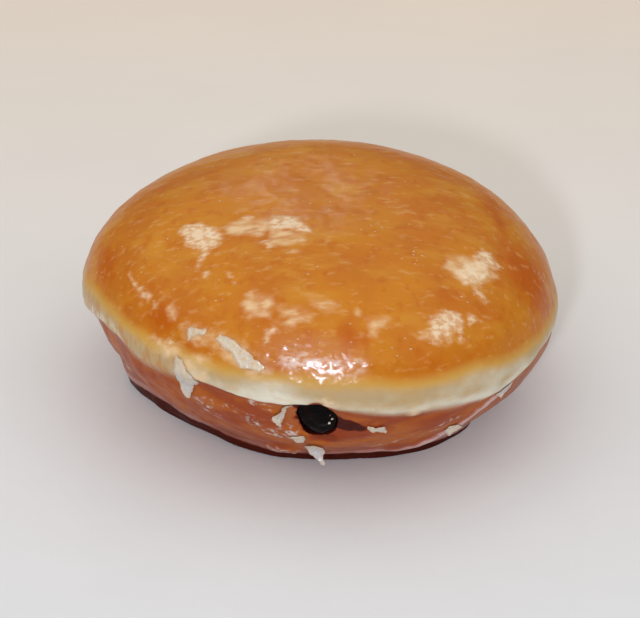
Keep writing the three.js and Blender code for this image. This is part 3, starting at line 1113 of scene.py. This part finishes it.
def fried_gold(paint, drawn):
    """Gold in clouds, streaked from side to side, and darker where it fried longest."""
    gold = paint.mix(paint.step(paint.noise(14, 3), 0.38, 0.62), GOLD, LIGHT_GOLD)
    gold = paint.mix(paint.step(paint.noise(5, 5, drawn), 0.50, 0.70, 0, 0.5), gold, YELLOW_GOLD)
    deep = paint.plus(paint.attribute("deep"), paint.times(paint.noise(3, 5), 7.0))
    gold = paint.mix(paint.step(deep, 2.6, 7.5, 0, 0.9), gold, DEEP_ORANGE)
    gold = paint.mix(paint.step(paint.noise(2.6, 5), 0.52, 0.70, 0, 0.42), gold, DEEP_ORANGE)
    return paint.mix(paint.step(paint.noise(1.3, 4, drawn), 0.54, 0.72, 0, 0.28), gold, THIN_GLAZE)


def pale_band(paint):
    """The band that floated above the oil, tan to cream, with its streaked left end."""
    white = paint.plus(paint.attribute("whiteness"), paint.math("SUBTRACT", paint.noise(5, 4), 0.5))
    white = paint.plus(white, paint.step(paint.attribute("below_band"), -3.5, -0.8, -0.25, 0.2))
    pale = paint.mix(paint.step(white, 0.0, 1.0), TAN, CREAM)
    yellow = paint.step(paint.noise(1.6, 5, paint.stretched(0.5, 0.5)), 0.48, 0.72, 0, 0.3)
    pale = paint.mix(yellow, pale, YELLOW)
    streaks = paint.step(paint.noise(1.5, 5, paint.stretched(z=0.3), 0.6), 0.42, 0.58, 0, 0.75)
    return paint.mix(paint.times(streaks, paint.attribute("left_end")), pale, STREAK_TAN)


def lower_side(paint, drawn, ridge, lip):
    """The side that fried longest, the glaze that pooled pink over its lip, and the foot under the lip
    painted near black as its shade.
    """
    brown = paint.mix(paint.step(paint.noise(5, 5, drawn), 0.36, 0.64), RED_BROWN, ORANGE_BROWN)
    brown = paint.mix(paint.step(paint.noise(1.8, 4, drawn), 0.52, 0.74, 0, 0.3), brown, AMBER)
    brown = paint.mix(paint.step(ridge, 1.8, 0.7, 0, 0.6), brown, FOOT_PINK)
    brown = paint.mix(paint.step(ridge, 1.1, 0.5, 0, 0.85), brown, PINK_GLAZE_AND_SHEEN)
    brown = paint.mix(paint.attribute("dent"), brown, DENT_BROWN)
    brown = paint.mix(paint.step(lip, 8, 2, 0, 0.6), brown, FOOT_BROWN)
    patches = paint.step(paint.noise(6, 3, drawn), 0.30, 0.55, 0.4, 1)
    pink = paint.times(paint.attribute("pinkness"), patches)
    brown = paint.mix(paint.times(pink, paint.step(lip, 6, 1.5, 0, 0.9)), brown, FOOT_PINK)
    # Along the lip, a pale pink line of pooled glaze that is partly a painted highlight on the lip's edge.
    line = paint.step(paint.math("ABSOLUTE", paint.math("SUBTRACT", lip, 0.8)), 1.0, 0.3, 0, 0.7)
    brown = paint.mix(paint.times(line, pink), brown, PINK_GLAZE_AND_SHEEN)
    # Painted shade: the foot under the lip is coloured near black, standing in for the shadow under the
    # overhang.
    return paint.mix(paint.step(lip, 0.1, -0.3), brown, FOOT_PAINTED_SHADE)


def crust_colours(paint, drawn, torn):
    """The gold, the pale band and the lower side, with a white line of glaze where the band ends crisply."""
    above = paint.attribute("above_band")
    blur = paint.attribute("band_blur")
    edge = torn("below_band", 0.25)
    upper = paint.mix(paint.step(above, -2.4, 0.2), pale_band(paint), YELLOW)
    upper = paint.mix(paint.step(above, -0.6, 1.8), upper, fried_gold(paint, drawn))
    brown = lower_side(paint, drawn, torn("ridge", 0.5), torn("above_lip", 0.4))
    softened = paint.math("DIVIDE", edge, paint.plus(paint.times(blur, 6.0), 0.4))
    colour = paint.mix(paint.step(softened, -0.5, 0.5), upper, brown)
    line = paint.step(paint.math("ABSOLUTE", paint.plus(edge, 0.35)), 0.45, 0.1)
    line = paint.times(line, paint.step(paint.noise(4, 3), 0.42, 0.6))
    return paint.mix(paint.times(line, paint.step(blur, 0.3, 0.0, 0, 0.75)), colour, CREAM)


def with_milky_glaze(paint, drawn, torn, lumps, colour):
    """Thin milky glaze, broken up by streaks, and tinted lilac over the wet lumps as a painted sheen around
    the highlight.
    """
    thin = paint.step(paint.noise(2.0, 5, drawn), 0.36, 0.60, 0.3, 0.95)
    milky = paint.times(paint.step(torn("milky", 1.0), -0.8, 1.5), thin)
    broken = paint.step(paint.noise(1.7, 5, drawn), 0.44, 0.56)
    broken = paint.math("MAXIMUM", broken, paint.step(lumps, 0, 0.5, 1, 0.15))
    haze = paint.mix(paint.noise(1.2, 4, drawn), THIN_GLAZE, DRY_GLAZE)
    # Painted sheen: over the wet lumps the haze is tinted lilac, as the light's reflection around the
    # highlight.
    haze = paint.mix(paint.times(lumps, 0.6), haze, LILAC_PAINTED_SHEEN)
    return paint.mix(paint.times(milky, broken), colour, haze)


def crackled_film(paint, torn):
    crackle = paint.noise(1.3, 6, paint.stretched(x=0.7), 0.65)
    return paint.times(paint.step(torn("film", 1.5), -0.5, 0.9), paint.step(crackle, 0.48, 0.60))


def dry_crusts(paint, torn):
    """How much crust there is, and how thick it is: mottled from side to side where it is thin."""
    crust = torn("crust", 1.3)
    mottled = paint.step(paint.noise(0.8, 5, paint.stretched(x=0.65)), 0.38, 0.58, 0.45, 1.0)
    return paint.times(paint.step(crust, -0.6, 0.8), mottled), paint.step(crust, -0.2, 1.6)


def glaze_bubbles(paint, lumps):
    """Bubbles in the clear glaze, in scattered groups; the same mask paints a pale glint on each."""
    groups = paint.math("MAXIMUM", paint.step(paint.noise(9, 4), 0.50, 0.62), paint.times(lumps, 0.9))
    bubbles_and_glints = paint.step(paint.cells(1.4, paint.stretched(x=0.6)), 0.05, 0.15, 1, 0)
    return paint.times(paint.times(bubbles_and_glints, groups), paint.step(paint.attribute("above_band"), 0.5, 3))


def dough_normal(paint, lumps, bubbles_and_glints, film, crust):
    """The fine relief. The crown and the wet lumps over the hole are smoother than the rest."""
    calm = paint.step(paint.separate("Z"), 33 * MM, 41 * MM, 1, 0.3)
    calm = paint.times(calm, paint.step(lumps, 0, 1, 1, 0.35))
    wet = paint.plus(paint.noise(2.4, 1), paint.step(paint.cells(1.7), 0.0, 0.7, 0.3, 0))
    normal = paint.bump(paint.times(paint.noise(4.5, 2), calm), 0.24)
    normal = paint.bump(paint.times(paint.noise(1.5, 4), calm), 0.07, normal)
    normal = paint.bump(bubbles_and_glints, 0.14, normal)
    normal = paint.bump(paint.times(wet, lumps), 0.28, normal)
    normal = paint.bump(film, 0.10, normal)
    return paint.bump(crust, 0.07, normal)


def glazed_dough():
    paint = Paint("glazed_crust")
    drawn = paint.stretched(x=0.45)
    tear = paint.times(paint.math("SUBTRACT", paint.noise(1.1, 5, drawn), 0.5), 2.0)

    def torn(name, amount):
        """One of the dough's attributes, with its edges torn by an amount."""
        return paint.plus(paint.attribute(name), paint.times(tear, amount))

    lumps = paint.attribute("lumpy")
    unstained = torn("unstained", 0.15)
    film = crackled_film(paint, torn)
    crust, thickness = dry_crusts(paint, torn)
    bubbles_and_glints = glaze_bubbles(paint, lumps)
    normal = dough_normal(paint, lumps, bubbles_and_glints, film, crust)

    colour = crust_colours(paint, drawn, torn)
    colour = with_milky_glaze(paint, drawn, torn, lumps, colour)
    colour = paint.mix(paint.times(film, 0.7), colour, WHITE_GLAZE)
    dry = paint.mix(paint.times(thickness, paint.noise(0.8, 4)), DRY_GLAZE, CRUST_CREAM)
    colour = paint.mix(paint.times(crust, paint.step(thickness, 0, 1, 0.7, 0.92)), colour, dry)
    colour = paint.mix(paint.step(unstained, 0.95, 0.45, 0, 0.95), colour, JAM_BROWN)
    colour = paint.mix(paint.step(unstained, 0.55, 0.05, 0, 0.97), colour, JAM_RED)
    # Painted glints: each bubble is coloured pale, as the light catching it.
    colour = paint.mix(paint.times(bubbles_and_glints, 0.6), colour, PAINTED_GLINT)

    # The wet lumps shine most, and neither the foot painted dark as shade nor the soaked-in jam shines much.
    painted_shade_foot = paint.step(torn("above_lip", 0.4), -0.3, 0.2, 0.1, 1)
    dull = paint.times(painted_shade_foot, paint.step(unstained, 0.1, 0.8, 0.25, 1))
    paint.shader.subsurface_method = "RANDOM_WALK"
    return paint.finish(
        Base_Color=colour,
        Roughness=paint.step(crust, 0, 1, 0.35, 0.6),
        Normal=normal,
        Coat_Normal=normal,
        Subsurface_Weight=0.2,
        Subsurface_Scale=0.0012,
        Subsurface_Radius=(1.0, 0.45, 0.2),
        Coat_Weight=paint.times(paint.step(lumps, 0, 1, 0.22, 1), dull),
        Coat_Roughness=0.23,
        Specular_IOR_Level=0.06,
    )


def wet_jam():
    paint = Paint("jam")
    colour = paint.mix(paint.step(paint.noise(1.6, 3), 0.5, 0.75), JAM_BLACK, JAM_PURPLE)
    # Painted glints: the raised crumbs on the jam's face are coloured pale, as the light catching the wet
    # jam.
    return paint.finish(
        Base_Color=paint.mix(paint.step(paint.attribute("glint_crumb"), 0.25, 0.6), colour, JAM_PAINTED_GLINT),
        Roughness=0.10,
        Normal=paint.bump(paint.noise(1.8, 3), 0.22),
        Specular_IOR_Level=0.06,
    )


def dried_glaze():
    """White sugar, creamier and worn through on the crown, and thin at the flake's rim."""
    paint = Paint("dried_glaze")
    colour = paint.mix(paint.step(paint.noise(3, 4), 0.35, 0.65), FLAKE_GREY, FLAKE_TAN)
    colour = paint.mix(paint.step(paint.noise(0.7, 4), 0.5, 0.7, 0, 0.6), colour, FLAKE_WHITE)
    crown = paint.step(paint.separate("Z"), 22 * MM, 29 * MM, 0, 0.6)
    colour = paint.mix(crown, colour, FLAKE_CREAM)
    worn = paint.step(paint.noise(0.9, 5), 0.50, 0.62, 0, 0.8)
    colour = paint.mix(paint.times(worn, crown), colour, FLAKE_WORN)
    paint.shader.subsurface_method = "RANDOM_WALK"
    return paint.finish(
        Base_Color=paint.mix(paint.step(paint.attribute("inset"), 0.7, 0.0, 0, 0.5), colour, FLAKE_RIM),
        Roughness=paint.step(paint.noise(0.9, 2), 0.3, 0.7, 0.25, 0.5),
        Normal=paint.bump(paint.noise(0.9, 5), 0.25),
        Subsurface_Weight=0.3,
        Subsurface_Scale=0.001,
        Subsurface_Radius=(1.0, 0.8, 0.6),
        Coat_Weight=0.25,
        Coat_Roughness=0.2,
    )


def paper():
    """Matt paper, with painted light that makes it a little warmer towards the back of the room."""
    paint = Paint("pale_floor")
    colour = paint.mix(paint.step(paint.separate("Y"), -0.1, 0.3), PAPER_FRONT, PAPER_BACK_PAINTED_LIGHT)
    return paint.finish(
        Base_Color=paint.mix(paint.step(paint.noise(50, 4), 0.3, 0.7, 0, 0.06), colour, PAPER_GREY),
        Roughness=0.75,
        Specular_IOR_Level=0.2,
        Normal=paint.bump(paint.noise(9, 4), 0.15),
    )


# -----------------------------------------------------------------------------
# Floor, light and camera
# -----------------------------------------------------------------------------

FLOOR_RADIUS = 4.0
CAMERA_ELEVATION = math.radians(30)
CAMERA_DISTANCE = 450.0
CAMERA_LENS = 128.7
AIM_HEIGHT = 22.0
AIM_RIGHT = -0.39
AIM_DOWN = 4.2
SKY_LOW = 0.12
SKY_HIGH = 1.15
SKY_FRONT = 1.12
SKY_BACK = 0.82
SKY_COLOUR = (0.97, 0.98, 1.0, 1)
LIGHT_TARGET_HEIGHT = 20
# Round lights: where they stand as seen from the doughnut's middle, as (azimuth, elevation) in degrees and a
# distance in mm, then their size in metres, their power in watts and their colour.
LIGHTS = {
    "by_the_camera": (-9, 24, 1000, 0.07, 4.6, (0.74, 0.82, 1.0)),
    "behind": (184, 29.5, 2500, 0.18, 1.2, (1, 1, 1)),
}


def floor():
    bpy.ops.mesh.primitive_circle_add(vertices=96, radius=FLOOR_RADIUS, fill_type="NGON")
    thing = bpy.context.object
    thing.name = "floor"
    thing.data.materials.append(paper())


def aim(thing, position, target):
    """Puts a light or camera at a position, in mm, and turns it to look at a target."""
    position = Vector(to_frame(np.array(position, float)))
    target = Vector(to_frame(np.array(target, float)))
    thing.location = position
    thing.rotation_euler = (target - position).to_track_quat("-Z", "Y").to_euler()


def round_light(name, azimuth, elevation, distance, size, power, colour):
    data = bpy.data.lights.new(name, "AREA")
    data.shape = "DISK"
    data.size = size
    data.energy = power
    data.color = colour
    thing = bpy.data.objects.new(name, data)
    bpy.context.scene.collection.objects.link(thing)
    azimuth = math.radians(azimuth)
    elevation = math.radians(elevation)
    flat = distance * math.cos(elevation)
    height = LIGHT_TARGET_HEIGHT + distance * math.sin(elevation)
    aim(thing, (flat * math.sin(azimuth), -flat * math.cos(azimuth), height), (0, 0, LIGHT_TARGET_HEIGHT))


def sky():
    """A white world, brightest overhead, and brighter towards the front than towards the back."""
    world = bpy.data.worlds.new("world")
    world.use_nodes = True
    nodes = world.node_tree.nodes
    links = world.node_tree.links
    split = nodes.new("ShaderNodeSeparateXYZ")
    links.new(nodes.new("ShaderNodeTexCoord").outputs["Generated"], split.inputs["Vector"])

    def ranged(value, low, high, start, end):
        node = nodes.new("ShaderNodeMapRange")
        node.interpolation_type = "SMOOTHSTEP"
        links.new(value, node.inputs["Value"])
        settings = {"From Min": low, "From Max": high, "To Min": start, "To Max": end}
        for socket, setting in settings.items():
            node.inputs[socket].default_value = setting
        return node.outputs["Result"]

    strength = nodes.new("ShaderNodeMath")
    strength.operation = "MULTIPLY"
    links.new(ranged(split.outputs["Z"], 0, 1, SKY_LOW, SKY_HIGH), strength.inputs[0])
    links.new(ranged(split.outputs["Y"], -1, 1, SKY_FRONT, SKY_BACK), strength.inputs[1])
    links.new(strength.outputs["Value"], nodes["Background"].inputs["Strength"])
    nodes["Background"].inputs["Color"].default_value = SKY_COLOUR
    bpy.context.scene.world = world


def studio():
    sky()
    bpy.context.scene.view_settings.view_transform = "Standard"
    for name, settings in LIGHTS.items():
        round_light(name, *settings)


def camera():
    data = bpy.data.cameras.new("camera")
    data.lens = CAMERA_LENS
    thing = bpy.data.objects.new("camera", data)
    bpy.context.scene.collection.objects.link(thing)
    cosine = math.cos(CAMERA_ELEVATION)
    sine = math.sin(CAMERA_ELEVATION)
    # The doughnut stands a little above the middle of the picture.
    target = (AIM_RIGHT, -AIM_DOWN * sine, AIM_HEIGHT - AIM_DOWN * cosine)
    aim(thing, (0, -CAMERA_DISTANCE * cosine, AIM_HEIGHT + CAMERA_DISTANCE * sine), target)
    bpy.context.scene.camera = thing


# -----------------------------------------------------------------------------
# The whole doughnut
# -----------------------------------------------------------------------------

def dress(thing, material, node):
    thing.data.materials.clear()
    thing.data.materials.append(material)
    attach(thing, "root")
    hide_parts(node)


floor()
studio()
camera()

body = dough()
surface = BVHTree.FromPolygons(
    [vertex.co for vertex in body.data.vertices],
    [tuple(polygon.vertices) for polygon in body.data.polygons],
)
flake_paint = dried_glaze()
for seed, node in enumerate(FLAKES, start=100):
    dress(flake(node, surface, seed), flake_paint, node)
cut_filling_space(body)
dress(body, glazed_dough(), "dough")
dress(jam(), wet_jam(), "jam_filling")
